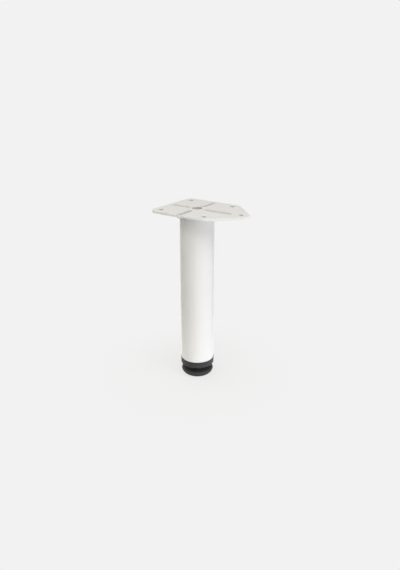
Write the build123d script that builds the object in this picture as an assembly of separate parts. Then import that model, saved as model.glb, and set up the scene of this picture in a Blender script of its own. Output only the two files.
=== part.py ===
from build123d import *

import math
import os

# Round steel furniture leg: a pressed plate welded on a tube, with a screw-adjusted plastic foot.
# Millimetres, +Z up. The origin is on the tube's axis, in the foot's floor face, and +X points along
# the plate's nose. The foot is wound fully in.

# Overall
leg_height = 200.0  # floor to the plate's top face

# Mounting plate: the outline runs at an even margin round the five screw holes
plate_thickness = 2.5
screw_pitch = 55.0  # side of the square of four holes
nose_reach = 55.0  # axis to the fifth hole
hole_margin = 9.5  # hole centre to the plate's edge, and the corner radius
screw_hole_diameter = 5.0
centre_hole_diameter = 11.5
plate_edge_round = 0.6
hole_edge_round = 0.3

# Stiffening beads pressed down into the plate, in a cross about the centre hole
bead_depth = 2.5
bead_bottom_radius = 2.0
bead_shoulder_radius = 4.0
bead_lip_angle = 5.0  # of the shoulder, where it meets the flat sheet
bead_start = 7.2  # axis to the near end of each bead
bead_edge_gap = 1.0  # far end of a short bead to the plate's edge
bead_nose_gap = 9.0  # far end of the nose bead to the nose hole's centre

# Tube
tube_diameter = 38.0
tube_wall = 1.5
tube_end_round = 0.3
notch_clearance = 0.15  # round each bead, where the tube's rim steps over it

# Weld seams under the plate, one between each two beads
weld_leg = 3.0
weld_crown = 0.5  # how far the seam's face bulges
weld_bead_gap = 1.0  # seam's end to the root of the bead's rib
weld_clearance = 0.02  # seam to the tube's outside

# Plug pressed into the tube's lower end
collar_height = 7.2
collar_overhang = 0.35  # beyond the tube's outside
collar_round = 0.8
plug_length = 26.0
core_diameter = 24.0
core_chamfer = 1.5
fin_count = 5
fin_pitch = 4.6
first_fin = 4.0  # tube's end to the middle of the lowest fin
fin_tip = 1.0
fin_root = 2.0
fin_clearance = 0.05
nut_floor = 2.0  # plastic left below the nut
nut_clearance = 0.05
bore_clearance = 0.3  # round the threaded stem
plug_roof = 4.0  # plastic left above the blind bore

# Thread, nut and stem
thread_diameter = 8.0
thread_clearance = 0.05  # each side, in the nut
thread_length = 25.0
thread_chamfer = 1.0
nut_width = 13.0  # across flats
nut_height = 6.5
hexagon_width = 13.0  # across flats, for a spanner
hexagon_gap = 0.4  # hexagon to the pad's top
neck_diameter = 9.0
swivel_diameter = 12.0
swivel_height = 2.6
swivel_round = 0.8
swivel_clearance = 0.15
corner_chamfer_angle = 30.0  # of the hexagons' turned corners

# Pad
pad_diameter = 37.2
pad_height = 7.2
pad_band = 2.4  # pad's top to where the side begins to draw in
pad_base_diameter = 29.2
pad_bulge = 0.7  # how far the side swells out from a straight cone
pad_round = 2.2
pad_floor = 3.0  # plastic left under the swivel head
pad_gap = 6.2  # pad's top to the collar, foot wound in

# Heights and radii that follow from the sizes above
pad_top = pad_height
collar_bottom = pad_top + pad_gap
tube_bottom = collar_bottom + collar_height
plate_top = leg_height
plate_bottom = plate_top - plate_thickness
tube_radius = tube_diameter / 2
bore_radius = tube_radius - tube_wall
stem_radius = thread_diameter / 2 - thread_clearance
nut_bottom = collar_bottom + nut_floor
half_pitch = screw_pitch / 2
same_height = 1e-4  # faces nearer than this lie in one plane

# A bead is a round-ended trough with soft shoulders, and the sheet keeps its thickness there
bead_axis = plate_top - bead_depth + bead_bottom_radius
shoulder_axis = plate_top - bead_shoulder_radius * math.cos(math.radians(bead_lip_angle))
bead_slope = math.acos((bead_axis - shoulder_axis) / (bead_bottom_radius + bead_shoulder_radius))
shoulder_offset = (bead_bottom_radius + bead_shoulder_radius) * math.sin(bead_slope)
bead_half_width = shoulder_offset - bead_shoulder_radius * math.sin(math.radians(bead_lip_angle))
short_bead_end = half_pitch + hole_margin - bead_edge_gap
nose_bead_end = nose_reach - bead_nose_gap
bead_ends = [nose_bead_end, short_bead_end, short_bead_end, short_bead_end]
bead_step = 360 / len(bead_ends)

screw_holes = [
    (-half_pitch, -half_pitch),
    (half_pitch, -half_pitch),
    (nose_reach, 0),
    (half_pitch, half_pitch),
    (-half_pitch, half_pitch),
]


def revolved(points):
    """Solid of revolution about Z from an (r, z) outline."""
    return revolve(make_face(Plane.XZ * Polyline(*points, close=True)), Axis.Z)


def bead_half_section(drop, lip_angle, top):
    """Half of a bead's section in (offset, z), its surface set down by a distance and closed at the top."""

    def at(offset, height, radius, angle):
        """Point of an arc, where the surface has a slope."""
        return (offset + radius * math.sin(angle), height - radius * math.cos(angle))

    bottom = bead_bottom_radius + drop
    shoulder = drop - bead_shoulder_radius
    lip = math.radians(lip_angle)
    bend = at(0, bead_axis, bottom, bead_slope)
    edge = at(shoulder_offset, shoulder_axis, shoulder, lip)
    return make_face(
        ThreePointArc((0, bead_axis - bottom), at(0, bead_axis, bottom, bead_slope / 2), bend)
        + ThreePointArc(bend, at(shoulder_offset, shoulder_axis, shoulder, (bead_slope + lip) / 2), edge)
        + Polyline(edge, (edge[0], top), (0, top), (0, bead_axis - bottom))
    )


def bead_bodies(drop, lip_angle, top):
    """The four beads as solid bars with round ends, of one section."""
    half = bead_half_section(drop, lip_angle, top)
    section = Plane.YZ * (half + mirror(half, Plane.YZ))
    round_end = revolve(Plane.XZ * half, Axis.Z, revolution_arc=180)
    bars = []
    for i, end in enumerate(bead_ends):
        near = bead_start + bead_half_width
        far = end - bead_half_width
        bar = Pos(near, 0, 0) * extrude(section, far - near)
        bar += [Pos(near, 0, 0) * Rot(0, 0, 90) * round_end, Pos(far, 0, 0) * Rot(0, 0, -90) * round_end]
        bars.append(Rot(0, 0, i * bead_step) * bar)
    return bars


def hexagon_prism(width, bottom, height):
    """Hexagon across flats, with its corners turned down at both ends."""
    prism = Pos(0, 0, bottom) * extrude(RegularPolygon(width / 2, 6, major_radius=False), height)
    corner = width / 2 / math.cos(math.radians(30))
    drop = (corner - width / 2) * math.tan(math.radians(corner_chamfer_angle))
    turned = [
        (0, bottom),
        (width / 2, bottom),
        (corner, bottom + drop),
        (corner, bottom + height - drop),
        (width / 2, bottom + height),
        (0, bottom + height),
    ]
    return prism & revolved(turned)


def mounting_plate():
    """Sheet with the outline of the hole pattern, set off by the margin, and four pressed beads."""
    outline = offset(make_face(Polyline(*screw_holes, close=True)), hole_margin, kind=Kind.ARC)
    sheet = Pos(0, 0, plate_bottom) * extrude(outline, plate_thickness)
    sheet += bead_bodies(plate_thickness, bead_lip_angle, plate_top - plate_thickness / 2)
    sheet -= bead_bodies(0, bead_lip_angle, plate_top + plate_thickness)
    punches = [(x, y, screw_hole_diameter) for x, y in screw_holes] + [(0, 0, centre_hole_diameter)]
    for x, y, diameter in punches:
        sheet -= Pos(x, y, plate_bottom + plate_thickness / 2) * Cylinder(diameter / 2, 2 * plate_thickness)

    for height in (plate_top, plate_bottom):
        flats = sheet.faces().filter_by(Plane.XY)
        face = flats.filter_by(lambda f: abs(f.center().Z - height) < same_height).sort_by(SortBy.AREA)[-1]
        round_holes = [w for w in face.inner_wires() if len(w.edges()) == 1]
        for wires, radius in ((round_holes, hole_edge_round), ([face.outer_wire()], plate_edge_round)):
            sheet = fillet([e for w in wires for e in w.edges()], radius)
    return sheet


def leg_tube():
    """Round tube, its upper rim stepped over the plate's beads and welded to the sheet between them."""
    length = plate_bottom - tube_bottom
    tube = Pos(0, 0, tube_bottom + length / 2) * (
        Cylinder(tube_radius, length) - Cylinder(bore_radius, length)
    )
    tube -= bead_bodies(plate_thickness + notch_clearance, 0, plate_top)
    return fillet(tube.edges().filter_by(GeomType.CIRCLE).group_by(Axis.Z)[0], tube_end_round)


def weld_seam(place):
    """Fillet of weld between the tube and the plate, from one bead's rib to the next."""
    inner = tube_radius + weld_clearance
    bulge = weld_leg / 2 + weld_crown / math.sqrt(2)
    section = Plane.XZ * (
        Polyline((inner, plate_bottom - weld_leg), (inner, plate_bottom), (inner + weld_leg, plate_bottom))
        + ThreePointArc(
            (inner + weld_leg, plate_bottom),
            (inner + bulge, plate_bottom - bulge),
            (inner, plate_bottom - weld_leg),
        )
    )
    spared = math.degrees(math.asin((shoulder_offset + weld_bead_gap) / tube_radius))
    seam = revolve(make_face(section), Axis.Z, revolution_arc=bead_step - 2 * spared)
    return Rot(0, 0, place * bead_step + spared) * seam


def foot_insert():
    """Moulded plug: a collar under the tube's end, a finned core in the tube and a pocket for the nut."""
    collar_radius = tube_radius + collar_overhang
    core_radius = core_diameter / 2
    core_top = tube_bottom + plug_length
    fin_radius = bore_radius - fin_clearance
    side = [
        (0, collar_bottom),
        (collar_radius, collar_bottom),
        (collar_radius, tube_bottom),
        (core_radius, tube_bottom),
    ]
    for i in range(fin_count):
        z = tube_bottom + first_fin + i * fin_pitch
        side += [
            (core_radius, z - fin_root / 2),
            (fin_radius, z - fin_tip / 2),
            (fin_radius, z + fin_tip / 2),
            (core_radius, z + fin_root / 2),
        ]
    side += [(core_radius, core_top - core_chamfer), (core_radius - core_chamfer, core_top), (0, core_top)]
    plug = revolved(side)
    plug = fillet(plug.edges().filter_by(GeomType.CIRCLE).group_by(Axis.Z)[0], collar_round)
    bore_length = core_top - plug_roof - collar_bottom
    bore = Cylinder(thread_diameter / 2 + bore_clearance, bore_length)
    plug -= Pos(0, 0, collar_bottom + bore_length / 2) * bore
    pocket = RegularPolygon(nut_width / 2 + nut_clearance, 6, major_radius=False)
    plug -= Pos(0, 0, nut_bottom) * extrude(pocket, nut_height)
    return plug


def insert_nut():
    """Hexagon nut moulded into the plug, with its bore at the thread's outside."""
    nut = hexagon_prism(nut_width, nut_bottom, nut_height)
    return nut - Pos(0, 0, nut_bottom + nut_height / 2) * Cylinder(thread_diameter / 2, nut_height)


def foot_stem():
    """Threaded stem with a spanner hexagon and a round head that swivels in the pad."""
    head_bottom = pad_floor
    head_top = head_bottom + swivel_height
    head = Pos(0, 0, (head_bottom + head_top) / 2) * Cylinder(swivel_diameter / 2, swivel_height)
    head = fillet(head.edges().filter_by(GeomType.CIRCLE), swivel_round)
    hexagon_bottom = pad_top + hexagon_gap
    thread_top = collar_bottom + thread_length
    shank = revolved(
        [
            (0, head_bottom),
            (neck_diameter / 2, head_bottom),
            (neck_diameter / 2, hexagon_bottom),
            (stem_radius, hexagon_bottom),
            (stem_radius, thread_top - thread_chamfer),
            (stem_radius - thread_chamfer, thread_top),
            (0, thread_top),
        ]
    )
    return head + shank + hexagon_prism(hexagon_width, hexagon_bottom, collar_bottom - hexagon_bottom)


def foot_pad():
    """Moulded pad: a round top edge, a swelling side and a pocket for the stem's head."""
    rim = pad_diameter / 2
    base = pad_base_diameter / 2
    band_bottom = pad_top - pad_band
    outline = Plane.XZ * (
        Line((0, 0), (base, 0))
        + SagittaArc((base, 0), (rim, band_bottom), -pad_bulge)
        + Polyline((rim, band_bottom), (rim, pad_top), (0, pad_top), (0, 0))
    )
    pad = revolve(make_face(outline), Axis.Z)
    pad = fillet(pad.edges().filter_by(GeomType.CIRCLE).group_by(Axis.Z)[-1], pad_round)
    pocket_height = swivel_height + swivel_clearance
    mouth_height = pad_top - pad_floor
    for diameter, height in ((swivel_diameter, pocket_height), (neck_diameter, mouth_height)):
        room = Cylinder(diameter / 2 + swivel_clearance, height)
        pad -= Pos(0, 0, pad_floor + height / 2) * room
    return pad


pieces = {
    "mounting_plate": mounting_plate(),
    "leg_tube": leg_tube(),
    "foot_insert": foot_insert(),
    "insert_nut": insert_nut(),
    "foot_stem": foot_stem(),
    "foot_pad": foot_pad(),
}
for place in range(len(bead_ends)):
    pieces[f"weld_seam_{place + 1}"] = weld_seam(place)

os.makedirs("parts", exist_ok=True)
for name, piece in pieces.items():
    export_step(piece, f"parts/{name}.step")
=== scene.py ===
"""White furniture leg with a pointed plate and a black screw foot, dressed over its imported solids.

Everything is in metres in the frame of the solids: +Z up, the floor at zero, +X along the plate's nose.
Sizes of pieces are written in millimetres and turned into metres when a mesh is made.
"""

import logging
import math
from dataclasses import dataclass
from enum import Enum

import bmesh
import bpy
from mathutils import Matrix, Vector

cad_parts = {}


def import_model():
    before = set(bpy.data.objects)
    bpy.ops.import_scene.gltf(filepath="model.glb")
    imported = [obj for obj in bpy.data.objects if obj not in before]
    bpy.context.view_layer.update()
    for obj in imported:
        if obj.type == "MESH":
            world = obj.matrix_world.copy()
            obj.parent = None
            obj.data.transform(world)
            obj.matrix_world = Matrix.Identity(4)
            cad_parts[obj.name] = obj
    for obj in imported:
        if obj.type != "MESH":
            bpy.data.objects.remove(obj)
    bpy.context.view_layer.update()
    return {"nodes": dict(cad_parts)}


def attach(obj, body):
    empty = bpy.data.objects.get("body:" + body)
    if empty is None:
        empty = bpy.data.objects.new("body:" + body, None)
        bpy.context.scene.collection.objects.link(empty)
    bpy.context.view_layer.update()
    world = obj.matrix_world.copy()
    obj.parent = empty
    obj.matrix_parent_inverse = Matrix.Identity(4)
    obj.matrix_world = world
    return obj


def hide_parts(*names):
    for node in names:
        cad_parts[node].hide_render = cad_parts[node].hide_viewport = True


LOG = logging.getLogger("furniture_leg")

MM = 0.001
FULL_TURN = 2 * math.pi

Colour = tuple[float, float, float]
Place = tuple[float, float, float]


class Body(Enum):
    """Rigid bodies of the part."""

    LEG = "leg"
    PAD = "pad"
    STEM = "stem"


class Slot(Enum):
    """Material slots of the record."""

    COAT = "white_coat"
    PLASTIC = "black_plastic"
    ZINC = "zinc_steel"


class NodeSheet:
    """Lays nodes in one node tree and joins their sockets."""

    # Sockets of a Mix node that mixes colours
    FIRST_COLOUR = 6
    SECOND_COLOUR = 7
    MIXED_COLOUR = 2

    def __init__(self, tree: bpy.types.NodeTree) -> None:
        """Take a tree and empty it.

        Args:
            tree: The node tree to fill.
        """
        tree.nodes.clear()
        self.tree = tree

    def add(self, kind: str, inputs: dict | None = None, **settings: object) -> bpy.types.Node:
        """Add a node.

        Args:
            kind: The node's type name.
            inputs: Values or source sockets by input name or number.
            settings: Properties of the node.

        Returns:
            The new node.
        """
        node = self.tree.nodes.new(kind)
        for name, value in settings.items():
            setattr(node, name, value)
        for key, value in (inputs or {}).items():
            if isinstance(value, bpy.types.NodeSocket):
                self.tree.links.new(value, node.inputs[key])
            else:
                node.inputs[key].default_value = value
        return node

    def math(self, operation: str, first: object, second: object = 0.0) -> bpy.types.NodeSocket:
        """Add a Math node and return its result.

        Args:
            operation: The node's operation.
            first: Value or source socket.
            second: Value or source socket.

        Returns:
            The result's socket.
        """
        node = self.add("ShaderNodeMath", {0: first, 1: second}, operation=operation)
        return node.outputs[0]

    def mix(
        self,
        share: bpy.types.NodeSocket,
        first: bpy.types.NodeSocket,
        second: bpy.types.NodeSocket,
    ) -> bpy.types.NodeSocket:
        """Mix two colours.

        Args:
            share: Share of the second colour.
            first: The first colour.
            second: The second colour.

        Returns:
            The mixed colour's socket.
        """
        node = self.add(
            "ShaderNodeMix",
            {"Factor": share, self.FIRST_COLOUR: first, self.SECOND_COLOUR: second},
            data_type="RGBA",
        )
        return node.outputs[self.MIXED_COLOUR]

    def fade(
        self, near: float, far: float, near_value: float, far_value: float, **settings: object
    ) -> bpy.types.NodeSocket:
        """Give a value that changes with the distance from the object's origin.

        Args:
            near: Distance up to which the first value holds.
            far: Distance from which the second value holds.
            near_value: The first value.
            far_value: The second value.
            settings: Properties of the Map Range node.

        Returns:
            The value's socket.
        """
        where = self.add("ShaderNodeTexCoord").outputs["Object"]
        away = self.add("ShaderNodeVectorMath", {0: where}, operation="LENGTH").outputs["Value"]
        ramp = self.add(
            "ShaderNodeMapRange",
            {"Value": away, "From Min": near, "From Max": far, "To Min": near_value, "To Max": far_value},
            **settings,
        )
        return ramp.outputs["Result"]


class SurfaceGroups:
    """Shader node groups that several finishes share."""

    # How many times finer the grain is than a skin's lumps, and the rubs than the clouds of tone
    GRAIN_SCALE = 2.7
    RUB_SCALE = 3.3
    # Share of open sky below which the painted shade starts, and at which the painted shade is full
    OPEN_SHARE = 0.96
    FULL_SHADE_SHARE = 0.50
    HOLLOW_SAMPLES = 8

    def __init__(self) -> None:
        """Build each group once."""
        self.relief = self._relief()
        self.handling = self._handling()
        self.painted_shade = self._painted_shade_group()

    @staticmethod
    def _group(name: str, inputs: dict[str, str], outputs: dict[str, str]) -> tuple:
        """Start a group with its sockets.

        Args:
            name: The group's name.
            inputs: Socket types by input name.
            outputs: Socket types by output name.

        Returns:
            The group, its sheet, its input node and its output node.
        """
        tree = bpy.data.node_groups.new(name, "ShaderNodeTree")
        for label, kind in inputs.items():
            tree.interface.new_socket(name=label, in_out="INPUT", socket_type=kind)
        for label, kind in outputs.items():
            tree.interface.new_socket(name=label, in_out="OUTPUT", socket_type=kind)
        sheet = NodeSheet(tree)
        return tree, sheet, sheet.add("NodeGroupInput"), sheet.add("NodeGroupOutput")

    def _relief(self) -> bpy.types.NodeTree:
        """Make the group for a fine skin: broad lumps with finer grain between them.

        Returns:
            The group, with Vector, Size and Fineness in, and Height out.
        """
        scalar = "NodeSocketFloat"
        tree, sheet, given, result = self._group(
            "skin_relief",
            {"Vector": "NodeSocketVector", "Size": scalar, "Fineness": scalar},
            {"Height": scalar},
        )
        scale = sheet.math("DIVIDE", 1.0, given.outputs["Size"])
        lumps = sheet.add(
            "ShaderNodeTexNoise",
            {"Vector": given.outputs["Vector"], "Scale": scale, "Detail": 2.0, "Roughness": 0.4},
        )
        grain = sheet.add(
            "ShaderNodeTexVoronoi",
            {"Vector": given.outputs["Vector"], "Scale": sheet.math("MULTIPLY", scale, self.GRAIN_SCALE)},
            feature="SMOOTH_F1",
        )
        fine = sheet.math("MULTIPLY", grain.outputs["Distance"], given.outputs["Fineness"])
        height = sheet.math("ADD", lumps.outputs["Fac"], fine)
        sheet.tree.links.new(height, result.inputs["Height"])
        return tree

    def _handling(self) -> bpy.types.NodeTree:
        """Make the group for slow changes of tone and gloss over a surface.

        Returns:
            The group, with Vector, Patch, Colour, Shade, Gloss and Spread in, and Colour and Roughness out.
        """
        scalar = "NodeSocketFloat"
        paint = "NodeSocketColor"
        tree, sheet, given, result = self._group(
            "slow_changes",
            {
                "Vector": "NodeSocketVector",
                "Patch": scalar,
                "Colour": paint,
                "Shade": paint,
                "Gloss": scalar,
                "Spread": scalar,
            },
            {"Colour": paint, "Roughness": scalar},
        )
        scale = sheet.math("DIVIDE", 1.0, given.outputs["Patch"])
        clouds = sheet.add(
            "ShaderNodeTexNoise",
            {"Vector": given.outputs["Vector"], "Scale": scale, "Detail": 4.0, "Roughness": 0.55},
        )
        tone = sheet.mix(clouds.outputs["Fac"], given.outputs["Colour"], given.outputs["Shade"])
        sheet.tree.links.new(tone, result.inputs["Colour"])
        rubs = sheet.add(
            "ShaderNodeTexNoise",
            {
                "Vector": given.outputs["Vector"],
                "Scale": sheet.math("MULTIPLY", scale, self.RUB_SCALE),
                "Detail": 6.0,
                "Roughness": 0.6,
            },
        )
        swing = sheet.math("SUBTRACT", rubs.outputs["Fac"], 0.5)
        change = sheet.math("MULTIPLY", swing, given.outputs["Spread"])
        rough = sheet.math("ADD", given.outputs["Gloss"], change)
        sheet.tree.links.new(rough, result.inputs["Roughness"])
        return tree

    def _painted_shade_group(self) -> bpy.types.NodeTree:
        """Make the group that paints shade into the colour of holes, grooves, inner corners and places close
        under other parts.

        Returns:
            The group, with Colour, Painted shade and Reach in, and Colour out.
        """
        paint = "NodeSocketColor"
        tree, sheet, given, result = self._group(
            "painted_hollow_shade",
            {"Colour": paint, "Painted shade": paint, "Reach": "NodeSocketFloat"},
            {"Colour": paint},
        )
        # Painted shade: the less open sky a place sees within the reach, the nearer its colour goes to the
        # shade colour
        openness = sheet.add(
            "ShaderNodeAmbientOcclusion",
            {"Distance": given.outputs["Reach"]},
            samples=self.HOLLOW_SAMPLES,
        )
        depth = sheet.add(
            "ShaderNodeMapRange",
            {
                "Value": openness.outputs["AO"],
                "From Min": self.OPEN_SHARE,
                "From Max": self.FULL_SHADE_SHARE,
                "To Min": 0.0,
                "To Max": 1.0,
            },
        )
        tone = sheet.mix(depth.outputs["Result"], given.outputs["Colour"], given.outputs["Painted shade"])
        sheet.tree.links.new(tone, result.inputs["Colour"])
        return tree


@dataclass(frozen=True)
class Finish:
    """A surface with slow changes of tone and gloss, painted shade in its hollows and a fine relief.

    Its lengths are in millimetres.
    """

    name: str
    colour: Colour
    shade: Colour
    hollow_shade_colour: Colour
    painted_shade_reach: float
    roughness: float
    roughness_spread: float
    patch: float
    relief_size: float
    relief_height: float
    fineness: float
    metallic: float = 0.0
    specular: float = 0.5

    def material(self, groups: SurfaceGroups) -> bpy.types.Material:
        """Make the material.

        Args:
            groups: The shared node groups.

        Returns:
            The new material.
        """
        material = bpy.data.materials.new(self.name)
        material.use_nodes = True
        sheet = NodeSheet(material.node_tree)
        where = sheet.add("ShaderNodeTexCoord").outputs["Object"]
        slow = sheet.add(
            "ShaderNodeGroup",
            {
                "Vector": where,
                "Patch": self.patch * MM,
                "Colour": (*self.colour, 1.0),
                "Shade": (*self.shade, 1.0),
                "Gloss": self.roughness,
                "Spread": self.roughness_spread,
            },
            node_tree=groups.handling,
        )
        # Painted shade: darkens the colour in holes, grooves, inner corners and under other parts
        painted_shade = sheet.add(
            "ShaderNodeGroup",
            {
                "Colour": slow.outputs["Colour"],
                "Painted shade": (*self.hollow_shade_colour, 1.0),
                "Reach": self.painted_shade_reach * MM,
            },
            node_tree=groups.painted_shade,
        )
        skin = sheet.add(
            "ShaderNodeGroup",
            {
                "Vector": self._relief_vector(sheet, where),
                "Size": self.relief_size * MM,
                "Fineness": self.fineness,
            },
            node_tree=groups.relief,
        )
        bump = sheet.add(
            "ShaderNodeBump",
            {"Height": skin.outputs["Height"], "Distance": self.relief_height * MM, "Strength": 1.0},
        )
        shader = sheet.add(
            "ShaderNodeBsdfPrincipled",
            {
                "Base Color": painted_shade.outputs["Colour"],
                "Roughness": slow.outputs["Roughness"],
                "Normal": bump.outputs["Normal"],
                "Metallic": self.metallic,
                "Specular IOR Level": self.specular,
            },
        )
        sheet.add("ShaderNodeOutputMaterial", {"Surface": shader.outputs["BSDF"]})
        return material

    def _relief_vector(self, sheet: NodeSheet, where: bpy.types.NodeSocket) -> bpy.types.NodeSocket:
        """Give the relief's coordinates, which are the surface's own here."""
        return where


@dataclass(frozen=True)
class TurnedFinish(Finish):
    """A finish whose relief is drawn out into rings round the axis, as a lathe or a die leaves it."""

    stretch: float = 0.08

    def _relief_vector(self, sheet: NodeSheet, where: bpy.types.NodeSocket) -> bpy.types.NodeSocket:
        """Give coordinates that are squeezed across the axis.

        Args:
            sheet: The material's sheet.
            where: Object coordinates.

        Returns:
            The squeezed coordinates.
        """
        squeeze = sheet.add(
            "ShaderNodeMapping", {"Vector": where, "Scale": (self.stretch, self.stretch, 1.0)}
        )
        return squeeze.outputs["Vector"]


POWDER_COAT = Finish(
    name="white_powder_coat",
    colour=(0.83, 0.825, 0.81),
    shade=(0.81, 0.80, 0.78),
    # painted shade in holes, grooves and on the tube just under the plate
    hollow_shade_colour=(0.37, 0.366, 0.357),
    painted_shade_reach=9.0,
    roughness=0.16,
    roughness_spread=0.06,
    patch=45.0,
    relief_size=1.6,
    relief_height=0.012,
    fineness=0.25,
)
MOULDED_PLASTIC = Finish(
    name="black_moulded_plastic",
    colour=(0.042, 0.042, 0.0425),
    shade=(0.036, 0.036, 0.0365),
    # painted shade in the foot's hollows and gaps
    hollow_shade_colour=(0.033, 0.033, 0.0335),
    painted_shade_reach=2.0,
    roughness=0.46,
    roughness_spread=0.14,
    patch=14.0,
    relief_size=0.55,
    relief_height=0.020,
    fineness=0.7,
    specular=0.16,
)
ZINC_PLATE = TurnedFinish(
    name="bright_zinc_plate",
    colour=(0.62, 0.63, 0.63),
    shade=(0.55, 0.57, 0.60),
    # painted shade in thread roots and inner corners
    hollow_shade_colour=(0.34, 0.33, 0.31),
    painted_shade_reach=0.8,
    roughness=0.30,
    roughness_spread=0.16,
    patch=9.0,
    relief_size=0.30,
    relief_height=0.006,
    fineness=0.4,
    metallic=1.0,
)


@dataclass(frozen=True)
class Corner:
    """Corner of a turned outline, in millimetres from the axis and the floor, with its rounding."""

    radius: float
    height: float
    rounding: float = 0.0
    segments: int = 4


class Bench:
    """Mesh work that the pieces share."""

    # Points nearer than this are one, in metres
    NEAR = 1e-6
    SHARP_ANGLE = math.radians(28.0)

    @classmethod
    def turn(cls, outline: list[Corner], steps: int) -> bmesh.types.BMesh:
        """Turn an outline round the axis and round its corners.

        Args:
            outline: Corners from the axis, or a start off it, to the end.
            steps: Faces round the axis.

        Returns:
            The turned mesh, with its faces outwards.
        """
        bm = bmesh.new()
        points = [bm.verts.new((c.radius * MM, 0.0, c.height * MM)) for c in outline]
        for first, second in zip(points, points[1:]):
            bm.edges.new((first, second))
        bmesh.ops.spin(
            bm,
            geom=bm.verts[:] + bm.edges[:],
            cent=(0.0, 0.0, 0.0),
            axis=(0.0, 0.0, 1.0),
            angle=FULL_TURN,
            steps=steps,
            use_merge=True,
        )
        bmesh.ops.remove_doubles(bm, verts=bm.verts[:], dist=cls.NEAR)
        bmesh.ops.recalc_face_normals(bm, faces=bm.faces[:])
        for corner in outline:
            if corner.rounding:
                cls.round_ring(bm, corner)
        return bm

    @classmethod
    def round_ring(cls, bm: bmesh.types.BMesh, corner: Corner) -> None:
        """Round one ring of edges.

        Args:
            bm: The mesh.
            corner: The ring's place and rounding.
        """

        def on_ring(vert: bmesh.types.BMVert) -> bool:
            """Tell whether a vertex lies on the ring."""
            radius = math.hypot(vert.co.x, vert.co.y)
            high = abs(vert.co.z - corner.height * MM) < cls.NEAR
            return high and abs(radius - corner.radius * MM) < cls.NEAR

        ring = [e for e in bm.edges if on_ring(e.verts[0]) and on_ring(e.verts[1])]
        bmesh.ops.bevel(
            bm,
            geom=ring,
            offset=corner.rounding * MM,
            offset_type="OFFSET",
            segments=corner.segments,
            profile=0.5,
            affect="EDGES",
            material=-1,
            clamp_overlap=True,
        )

    @classmethod
    def finish(
        cls,
        bm: bmesh.types.BMesh,
        name: str,
        material: bpy.types.Material,
        body: Body,
        slot: Slot,
        node: str,
    ) -> None:
        """Make a mesh an object of the part.

        Args:
            bm: The mesh, which is freed.
            name: The piece's name.
            material: Its finish.
            body: The body that it rides on.
            slot: The record's slot that the finish stands for; not used.
            node: The solid that it replaces.
        """
        mesh = bpy.data.meshes.new(name)
        bm.to_mesh(mesh)
        bm.free()
        mesh.shade_smooth()
        mesh.set_sharp_from_angle(angle=cls.SHARP_ANGLE)
        mesh.materials.append(material)
        piece = bpy.data.objects.new(name, mesh)
        bpy.context.scene.collection.objects.link(piece)
        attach(piece, body.value)
        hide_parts(node)
        LOG.info("%s: %d faces on %s", name, len(mesh.polygons), body.value)

    @staticmethod
    def paint(node: bpy.types.Object, material: bpy.types.Material, slot: Slot) -> None:
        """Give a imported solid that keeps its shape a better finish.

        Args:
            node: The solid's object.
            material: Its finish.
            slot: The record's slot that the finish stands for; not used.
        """
        node.data.materials.clear()
        node.data.materials.append(material)
        LOG.info("%s: packed solid, painted", node.name)


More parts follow.
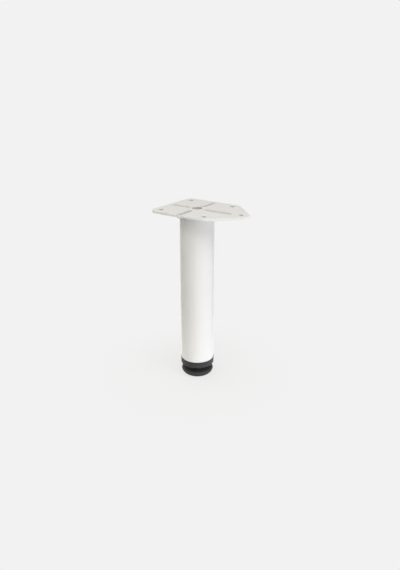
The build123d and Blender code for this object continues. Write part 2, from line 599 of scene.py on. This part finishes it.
@dataclass
class SteelFrame:
    """Plate and tube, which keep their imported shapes, and the weld seams between them.

    Lengths are in millimetres and the sweep is in degrees. The section's fullness runs from 0 for a flat
    face to 1 for a quarter of a circle. The taper is a share of the seam's length, and the end's size a
    share of its section.
    """

    weld_inner: float = 19.02
    weld_leg: float = 3.0
    weld_height: float = 197.5
    weld_sweep: float = 53.8
    weld_steps: int = 72
    weld_ripples: int = 15
    ripple_depth: float = 0.22
    end_taper: float = 0.12
    end_size: float = 0.45
    section_fullness: float = 0.55
    section_points: int = 9
    seams: int = 4

    def build(self, nodes: dict[str, bpy.types.Object], coat: bpy.types.Material) -> None:
        """Dress the plate and tube and lay the seams.

        Args:
            nodes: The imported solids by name.
            coat: The powder coat.
        """
        for name in ("mounting_plate", "leg_tube"):
            Bench.paint(nodes[name], coat, Slot.COAT)
        for place in range(self.seams):
            name = f"weld_seam_{place + 1}"
            seam = self.seam(FULL_TURN * (place + 0.5) / self.seams)
            Bench.finish(seam, f"rippled_{name}", coat, Body.LEG, Slot.COAT, name)

    def seam(self, middle: float) -> bmesh.types.BMesh:
        """Sweep a seam's section round the tube and ripple it as a welder's steps do.

        Args:
            middle: Angle of the seam's middle about the axis.

        Returns:
            The closed mesh.
        """
        bm = bmesh.new()
        corner = Vector((self.weld_inner * MM, 0.0, self.weld_height * MM))
        leg = self.weld_leg * MM
        sweep = math.radians(self.weld_sweep)
        section = [bm.verts.new(corner)]
        for i in range(self.section_points):
            turn = math.pi / 2 * i / (self.section_points - 1)
            flat = 1.0 / (math.cos(turn) + math.sin(turn))
            reach = leg * (self.section_fullness + (1.0 - self.section_fullness) * flat)
            section.append(
                bm.verts.new(corner + Vector((reach * math.cos(turn), 0.0, -reach * math.sin(turn))))
            )
        bm.faces.new(section)
        bmesh.ops.rotate(
            bm, verts=bm.verts[:], cent=(0, 0, 0), matrix=Matrix.Rotation(middle - sweep / 2, 3, "Z")
        )
        bmesh.ops.spin(
            bm,
            geom=bm.verts[:] + bm.edges[:] + bm.faces[:],
            cent=(0.0, 0.0, 0.0),
            axis=(0.0, 0.0, 1.0),
            angle=sweep,
            steps=self.weld_steps,
        )
        for vert in bm.verts:
            self._ripple(vert, middle, sweep)
        bmesh.ops.recalc_face_normals(bm, faces=bm.faces[:])
        return bm

    def _ripple(self, vert: bmesh.types.BMVert, middle: float, sweep: float) -> None:
        """Move a vertex of a seam in or out along its section.

        Args:
            vert: The vertex.
            middle: Angle of the seam's middle.
            sweep: Angle that the seam covers.
        """
        angle = math.atan2(vert.co.y, vert.co.x)
        along = (angle - middle + math.pi) % FULL_TURN - math.pi
        share = along / sweep + 0.5
        radius = math.hypot(vert.co.x, vert.co.y)
        out = radius - self.weld_inner * MM
        down = vert.co.z - self.weld_height * MM
        reach = math.hypot(out, down)
        if reach < Bench.NEAR:
            return
        wave = 0.5 - 0.5 * math.cos(FULL_TURN * self.weld_ripples * share)
        end = min(1.0, min(share, 1.0 - share) / self.end_taper)
        size = self.end_size + (1.0 - self.end_size) * math.sqrt(max(end, 0.0))
        size *= 1.0 - self.ripple_depth * MM / reach * wave
        radius = self.weld_inner * MM + out * size
        vert.co.x = radius * math.cos(angle)
        vert.co.y = radius * math.sin(angle)
        vert.co.z = self.weld_height * MM + down * size


@dataclass
class ScrewFoot:
    """Plug, nut, threaded stem and swivelling pad.

    Lengths are in millimetres, heights are above the floor, and the chamfer's angle is in degrees. The
    thread's crest and flanks are shares of its pitch.
    """

    steps: int = 96
    pad_steps: int = 144
    pad_radius: float = 18.6
    pad_top: float = 7.2
    pad_edge_round: float = 2.2
    pad_edge_segments: int = 8
    base_radius: float = 14.6
    base_round: float = 0.3
    side_top: float = 4.8
    side_bulge: float = 0.7
    side_points: int = 14
    parting_depth: float = 0.06
    gate_radius: float = 1.6
    dish_radius: float = 8.5
    dish_depth: float = 0.25
    gate_root_round: float = 0.1
    fine_round: float = 0.2
    fine_segments: int = 2
    pocket_floor: float = 3.0
    pocket_top: float = 5.75
    pocket_radius: float = 6.15
    mouth_radius: float = 4.65
    mouth_chamfer: float = 0.6
    head_radius: float = 6.0
    head_bottom: float = 3.0
    head_top: float = 5.6
    head_round: float = 0.8
    neck_radius: float = 4.5
    hexagon_sides: int = 6
    hexagon_flat: float = 6.5
    hexagon_bottom: float = 7.6
    hexagon_top: float = 13.4
    hexagon_face: float = 6.35
    hexagon_chamfer: float = 30.0
    hexagon_band: float = 0.5
    thread_radius: float = 3.95
    thread_depth: float = 0.62
    thread_pitch: float = 1.25
    thread_rings: int = 14
    thread_crest: float = 0.125
    thread_flanks: float = 0.625
    thread_top: float = 38.4
    thread_chamfer: float = 1.0
    run_out: float = 1.2
    radius_tolerance: float = 1e-3

    def build(
        self,
        nodes: dict[str, bpy.types.Object],
        plastic: bpy.types.Material,
        zinc: bpy.types.Material,
    ) -> None:
        """Dress the plug and nut and make the pad and stem.

        Args:
            nodes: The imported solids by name.
            plastic: The moulded plastic.
            zinc: The zinc plate.
        """
        Bench.paint(nodes["foot_insert"], plastic, Slot.PLASTIC)
        Bench.paint(nodes["insert_nut"], zinc, Slot.ZINC)
        Bench.finish(self.pad(), "moulded_pad", plastic, Body.PAD, Slot.PLASTIC, "foot_pad")
        Bench.finish(self.stem(), "threaded_stem", zinc, Body.STEM, Slot.ZINC, "foot_stem")

    def pad(self) -> bmesh.types.BMesh:
        """Turn the pad, with the mould's parting line round its side and a dished base.

        Returns:
            The closed mesh.
        """
        fine = (self.fine_round, self.fine_segments)
        outline = [
            Corner(0.0, 0.0),
            Corner(self.gate_radius, 0.0, *fine),
            Corner(
                self.gate_radius + self.dish_depth, self.dish_depth, self.gate_root_round, self.fine_segments
            ),
            Corner(self.dish_radius, self.dish_depth, *fine),
            Corner(self.dish_radius + self.dish_depth, 0.0, *fine),
            Corner(self.base_radius, 0.0, self.base_round, self.fine_segments),
            *self._side(),
            Corner(self.pad_radius, self.pad_top, self.pad_edge_round, self.pad_edge_segments),
            Corner(self.mouth_radius + self.mouth_chamfer, self.pad_top, *fine),
            Corner(self.mouth_radius, self.pad_top - self.mouth_chamfer, *fine),
            Corner(self.mouth_radius, self.pocket_top),
            Corner(self.pocket_radius, self.pocket_top),
            Corner(self.pocket_radius, self.pocket_floor),
            Corner(0.0, self.pocket_floor),
        ]
        return Bench.turn(outline, self.pad_steps)

    def _side(self) -> list[Corner]:
        """Give the pad's swelling side, up from its base, with the parting line near its widest place.

        Returns:
            The side's corners, without the base's own.
        """
        across = self.pad_radius - self.base_radius
        chord = math.hypot(across, self.side_top)
        arc_radius = (chord**2 / 4 + self.side_bulge**2) / (2 * self.side_bulge)
        half_angle = math.asin(chord / 2 / arc_radius)
        side = []
        for i in range(1, self.side_points + 1):
            turn = half_angle * (2 * i / self.side_points - 1)
            along = 0.5 + math.sin(turn) * arc_radius / chord
            out = arc_radius * (math.cos(turn) - math.cos(half_angle))
            side.append(
                Corner(
                    self.base_radius + across * along + out * self.side_top / chord,
                    self.side_top * along - out * across / chord,
                )
            )
        line = side[-2]
        side[-2] = Corner(line.radius - self.parting_depth, line.height)
        return side

    def stem(self) -> bmesh.types.BMesh:
        """Turn the stem, then cut its hexagon and its thread by moving rings of vertices.

        Returns:
            The closed mesh.
        """
        ring_gap = self.thread_pitch / self.thread_rings
        rings = int((self.thread_top - self.hexagon_top) / ring_gap)
        thread = [self.thread_top - ring_gap * (rings - 1 - i) for i in range(rings)]
        outline = [
            Corner(0.0, self.head_bottom),
            Corner(self.head_radius, self.head_bottom, self.head_round),
            Corner(self.head_radius, self.head_top, self.head_round),
            Corner(self.neck_radius, self.head_top),
            Corner(self.neck_radius, self.hexagon_bottom),
            Corner(self.hexagon_face, self.hexagon_bottom),
            Corner(self.hexagon_flat, self.hexagon_bottom + self.hexagon_band),
            Corner(self.hexagon_flat, self.hexagon_top - self.hexagon_band),
            Corner(self.hexagon_face, self.hexagon_top),
            Corner(self.thread_radius, self.hexagon_top),
            *[Corner(self.thread_radius, z) for z in thread],
            Corner(0.0, self.thread_top),
        ]
        bm = Bench.turn(outline, self.steps)
        for vert in bm.verts:
            self._cut(vert)
        return bm

    def _cut(self, vert: bmesh.types.BMVert) -> None:
        """Move a vertex of the turned stem onto its hexagon or its thread.

        Args:
            vert: The vertex.
        """
        radius = math.hypot(vert.co.x, vert.co.y) / MM
        height = vert.co.z / MM
        angle = math.atan2(vert.co.y, vert.co.x)
        if abs(radius - self.hexagon_flat) < self.radius_tolerance:
            side = FULL_TURN / self.hexagon_sides
            wanted = self.hexagon_flat / math.cos(angle % side - side / 2)
            chamfer = (wanted - self.hexagon_face) * math.tan(math.radians(self.hexagon_chamfer))
            upper = height > (self.hexagon_bottom + self.hexagon_top) / 2
            vert.co.z = MM * (self.hexagon_top - chamfer if upper else self.hexagon_bottom + chamfer)
        elif abs(radius - self.thread_radius) < self.radius_tolerance:
            wanted = self._thread_radius(angle, height)
        else:
            return
        vert.co.x = wanted * MM * math.cos(angle)
        vert.co.y = wanted * MM * math.sin(angle)

    def _thread_radius(self, angle: float, height: float) -> float:
        """Give the right-hand thread's radius at a place.

        Args:
            angle: Angle about the axis.
            height: Height in millimetres.

        Returns:
            The radius in millimetres.
        """
        phase = (height / self.thread_pitch - angle / FULL_TURN) % 1.0
        swing = abs(phase - 0.5) * 2.0
        cut = min(max((swing - self.thread_crest) / self.thread_flanks, 0.0), 1.0)
        start = min(max((height - self.hexagon_top) / self.run_out, 0.0), 1.0)
        radius = self.thread_radius - self.thread_depth * cut * start
        tip = self.thread_radius - self.thread_chamfer + (self.thread_top - height)
        return min(radius, tip)


@dataclass(frozen=True)
class PhotoView:
    """Camera at the photograph's place, in metres, degrees and millimetres of lens."""

    place: Place = (0.33063, -0.46572, 0.33517)
    heading: float = 35.06
    pitch_down: float = 21.44
    lens: float = 34.05

    def build(self) -> None:
        """Make the camera and use it."""
        camera = bpy.data.objects.new("photo_view", bpy.data.cameras.new("photo_view"))
        camera.data.lens = self.lens
        camera.location = self.place
        camera.rotation_euler = (math.radians(90.0 - self.pitch_down), 0.0, math.radians(self.heading))
        bpy.context.scene.collection.objects.link(camera)
        bpy.context.scene.camera = camera

    def direction(self, right: float, up: float) -> Vector:
        """Give a direction from the object, as angles from the camera's side of it.

        Args:
            right: Degrees to the camera's right of the line to the camera.
            up: Degrees above the horizon.

        Returns:
            The unit direction.
        """
        turn = math.radians(self.heading - 90.0 + right)
        rise = math.radians(up)
        return Vector(
            (math.cos(rise) * math.cos(turn), math.cos(rise) * math.sin(turn), math.sin(rise))
        )


@dataclass(frozen=True)
class SoftBox:
    """Rectangular studio lamp, placed by angles from the camera's side of the object.

    Lengths are in metres and angles in degrees.
    """

    name: str
    right: float
    up: float
    width: float
    height: float
    radiance: float
    colour: Colour
    distance: float = 1.3
    mirrored: bool = True

    def build(self, view: PhotoView, target: Vector) -> None:
        """Make the lamp and turn it to the object.

        Args:
            view: The camera's place.
            target: The point that it faces.
        """
        data = bpy.data.lights.new(self.name, "AREA")
        data.shape = "RECTANGLE"
        data.size = self.width
        data.size_y = self.height
        data.energy = self.radiance * math.pi * self.width * self.height
        data.color = self.colour
        lamp = bpy.data.objects.new(self.name, data)
        lamp.visible_glossy = self.mirrored
        away = view.direction(self.right, self.up)
        lamp.location = target + away * self.distance
        lamp.rotation_euler = away.to_track_quat("Z", "Y").to_euler()
        bpy.context.scene.collection.objects.link(lamp)


@dataclass(frozen=True)
class FloorCard:
    """Lit card on the floor, a ring's sector placed by angles from the camera's side of the object.

    Only the object sees it: as a bright patch in its gloss and as light from below. Lengths are in metres
    and angles in degrees.
    """

    name: str
    first_right: float
    last_right: float
    inner: float
    outer: float
    full_reach: float
    radiance: float
    outer_radiance: float
    colour: Colour
    steps: int
    height: float = 0.0005

    def build(self, view: PhotoView) -> None:
        """Make the card.

        Args:
            view: The camera's place.
        """
        bm = bmesh.new()
        lift = Vector((0.0, 0.0, self.height))
        rows = []
        for i in range(self.steps + 1):
            right = self.first_right + (self.last_right - self.first_right) * i / self.steps
            away = view.direction(right, 0.0)
            rows.append([bm.verts.new(away * radius + lift) for radius in (self.inner, self.outer)])
        for first, second in zip(rows, rows[1:]):
            bm.faces.new((first[0], first[1], second[1], second[0]))
        mesh = bpy.data.meshes.new(self.name)
        bm.to_mesh(mesh)
        bm.free()
        mesh.materials.append(self._material())
        card = bpy.data.objects.new(self.name, mesh)
        card.visible_camera = False
        card.visible_shadow = False
        bpy.context.scene.collection.objects.link(card)
        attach(card, Body.PAD.value)

    def _material(self) -> bpy.types.Material:
        """Make a clear material that shines upwards, and less so towards its outer rim.

        Returns:
            The new material.
        """
        material = bpy.data.materials.new(self.name)
        material.use_nodes = True
        sheet = NodeSheet(material.node_tree)
        level = sheet.fade(self.full_reach, self.outer, self.radiance, self.outer_radiance)
        upper = sheet.math("SUBTRACT", 1.0, sheet.add("ShaderNodeNewGeometry").outputs["Backfacing"])
        strength = sheet.math("MULTIPLY", level, upper)
        glow = sheet.add("ShaderNodeEmission", {"Color": (*self.colour, 1.0), "Strength": strength})
        clear = sheet.add("ShaderNodeBsdfTransparent")
        both = sheet.add(
            "ShaderNodeAddShader", {0: glow.outputs["Emission"], 1: clear.outputs["BSDF"]}
        )
        sheet.add("ShaderNodeOutputMaterial", {"Surface": both.outputs["Shader"]})
        return material


@dataclass
class Studio:
    """Pale floor, even backdrop, lit cards and soft lamps.

    Lengths are in metres, apart from the floor's drop under the foot, which is in millimetres.
    """

    backdrop: Colour = (0.888, 0.888, 0.888)
    ambient: Colour = (0.04, 0.04, 0.04)
    floor_colour: Colour = (0.45, 0.45, 0.45)
    shadow_colour: Colour = (0.98, 0.98, 0.98)
    floor_radius: float = 4.0
    floor_segments: int = 96
    shadow_share: float = 0.22
    shadow_reach: float = 0.16
    floor_drop: float = 0.2
    target_height: float = 0.11

    def build(self, view: PhotoView, cards: list[FloorCard], lamps: list[SoftBox]) -> None:
        """Make the floor, the world, the cards and the lamps.

        Args:
            view: The camera's place.
            cards: The lit cards.
            lamps: The soft boxes.
        """
        bpy.context.scene.view_settings.view_transform = "Standard"
        self._floor()
        self._world()
        for card in cards:
            card.build(view)
            LOG.info("card %s", card.name)
        for lamp in lamps:
            lamp.build(view, Vector((0.0, 0.0, self.target_height)))
            LOG.info("lamp %s", lamp.name)

    @staticmethod
    def _seen(sheet: NodeSheet) -> bpy.types.NodeSocket:
        """Give 1 for rays that show the backdrop: camera, glossy and transmission rays.

        Args:
            sheet: The sheet of a material or the world.

        Returns:
            The mask's socket.
        """
        path = sheet.add("ShaderNodeLightPath").outputs
        direct = sheet.math("MAXIMUM", path["Is Camera Ray"], path["Is Glossy Ray"])
        return sheet.math("MAXIMUM", direct, path["Is Transmission Ray"])

    def _floor(self) -> None:
        """Make the floor, which keeps a faint shadow near the foot and fades into the backdrop.

        It goes with the pad, which stands on it at every pose, and it is clear from below.
        """
        bm = bmesh.new()
        bmesh.ops.create_circle(
            bm, cap_ends=True, segments=self.floor_segments, radius=self.floor_radius
        )
        bmesh.ops.translate(bm, verts=bm.verts[:], vec=(0.0, 0.0, -self.floor_drop * MM))
        mesh = bpy.data.meshes.new("studio_floor")
        bm.to_mesh(mesh)
        bm.free()
        floor = bpy.data.objects.new("studio_floor", mesh)
        bpy.context.scene.collection.objects.link(floor)
        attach(floor, Body.PAD.value)

        material = bpy.data.materials.new("studio_floor")
        material.use_nodes = True
        sheet = NodeSheet(material.node_tree)
        near = sheet.fade(
            0.0, self.shadow_reach, self.shadow_share, 0.0, interpolation_type="SMOOTHERSTEP"
        )
        matt = sheet.add("ShaderNodeBsdfDiffuse", {"Color": (*self.floor_colour, 1.0)})
        shade = sheet.add("ShaderNodeBsdfDiffuse", {"Color": (*self.shadow_colour, 1.0)})
        even = sheet.add("ShaderNodeEmission", {"Color": (*self.backdrop, 1.0), "Strength": 1.0})
        shown = sheet.add(
            "ShaderNodeMixShader",
            {0: near, 1: even.outputs["Emission"], 2: shade.outputs["BSDF"]},
        )
        upper = sheet.add(
            "ShaderNodeMixShader",
            {0: self._seen(sheet), 1: matt.outputs["BSDF"], 2: shown.outputs["Shader"]},
        )
        below = sheet.add("ShaderNodeNewGeometry").outputs["Backfacing"]
        clear = sheet.add("ShaderNodeBsdfTransparent")
        both = sheet.add(
            "ShaderNodeMixShader", {0: below, 1: upper.outputs["Shader"], 2: clear.outputs["BSDF"]}
        )
        sheet.add("ShaderNodeOutputMaterial", {"Surface": both.outputs["Shader"]})
        mesh.materials.append(material)

    def _world(self) -> None:
        """Make the world: the backdrop where it shows, and a weaker even light elsewhere."""
        world = bpy.data.worlds.new("studio")
        bpy.context.scene.world = world
        world.use_nodes = True
        sheet = NodeSheet(world.node_tree)
        light = sheet.add("ShaderNodeBackground", {"Color": (*self.ambient, 1.0), "Strength": 1.0})
        shown = sheet.add("ShaderNodeBackground", {"Color": (*self.backdrop, 1.0), "Strength": 1.0})
        both = sheet.add(
            "ShaderNodeMixShader",
            {0: self._seen(sheet), 1: light.outputs["Background"], 2: shown.outputs["Background"]},
        )
        sheet.add("ShaderNodeOutputWorld", {"Surface": both.outputs["Shader"]})


FLOOR_CARDS = [
    FloorCard(
        "right_card", first_right=-10.0, last_right=104.0, inner=0.022, outer=0.60,
        full_reach=0.03, radiance=0.86, outer_radiance=0.235, colour=(0.92, 0.945, 1.0), steps=23,
    ),
    FloorCard(
        "left_card", first_right=104.0, last_right=350.0, inner=0.022, outer=0.20,
        full_reach=0.06, radiance=0.50, outer_radiance=0.024, colour=(1.0, 0.984, 0.928), steps=41,
    ),
]
LAMPS = [
    SoftBox(
        "upper_box", right=28.0, up=47.0, width=1.75, height=0.62, radiance=2.71,
        colour=(1.0, 0.988, 0.977),
    ),
    SoftBox(
        "top_box", right=28.0, up=60.0, width=1.6, height=0.40, radiance=0.74,
        colour=(1.0, 0.995, 0.99),
    ),
    SoftBox(
        "low_box", right=28.0, up=8.0, width=2.0, height=0.40, radiance=2.0,
        colour=(0.945, 0.972, 1.0),
    ),
    SoftBox(
        "side_box", right=80.0, up=10.0, width=1.2, height=0.45, radiance=1.43,
        colour=(0.909, 0.922, 1.0),
    ),
    SoftBox(
        "left_box", right=-45.0, up=40.0, width=1.3, height=0.80, radiance=1.24,
        colour=(1.0, 0.951, 0.816),
    ),
    SoftBox(
        "rear_left_box", right=-120.0, up=30.0, width=1.4, height=0.80, radiance=1.32,
        colour=(1.0, 0.942, 0.866),
    ),
    SoftBox(
        "rear_box", right=170.0, up=35.0, width=1.6, height=0.80, radiance=0.36,
        colour=(1.0, 0.924, 0.849),
    ),
    SoftBox(
        "back_box", right=180.0, up=10.0, width=1.8, height=0.50, radiance=1.5,
        colour=(1.0, 0.97, 0.93), mirrored=False,
    ),
]


def main() -> None:
    """Build the leg's pieces and the studio."""
    logging.basicConfig(level=logging.INFO, format="%(name)s: %(message)s")
    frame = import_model()
    groups = SurfaceGroups()
    coat = POWDER_COAT.material(groups)
    plastic = MOULDED_PLASTIC.material(groups)
    zinc = ZINC_PLATE.material(groups)
    SteelFrame().build(frame["nodes"], coat)
    ScrewFoot().build(frame["nodes"], plastic, zinc)
    view = PhotoView()
    view.build()
    Studio().build(view, FLOOR_CARDS, LAMPS)


if __name__ == "__main__":
    main()
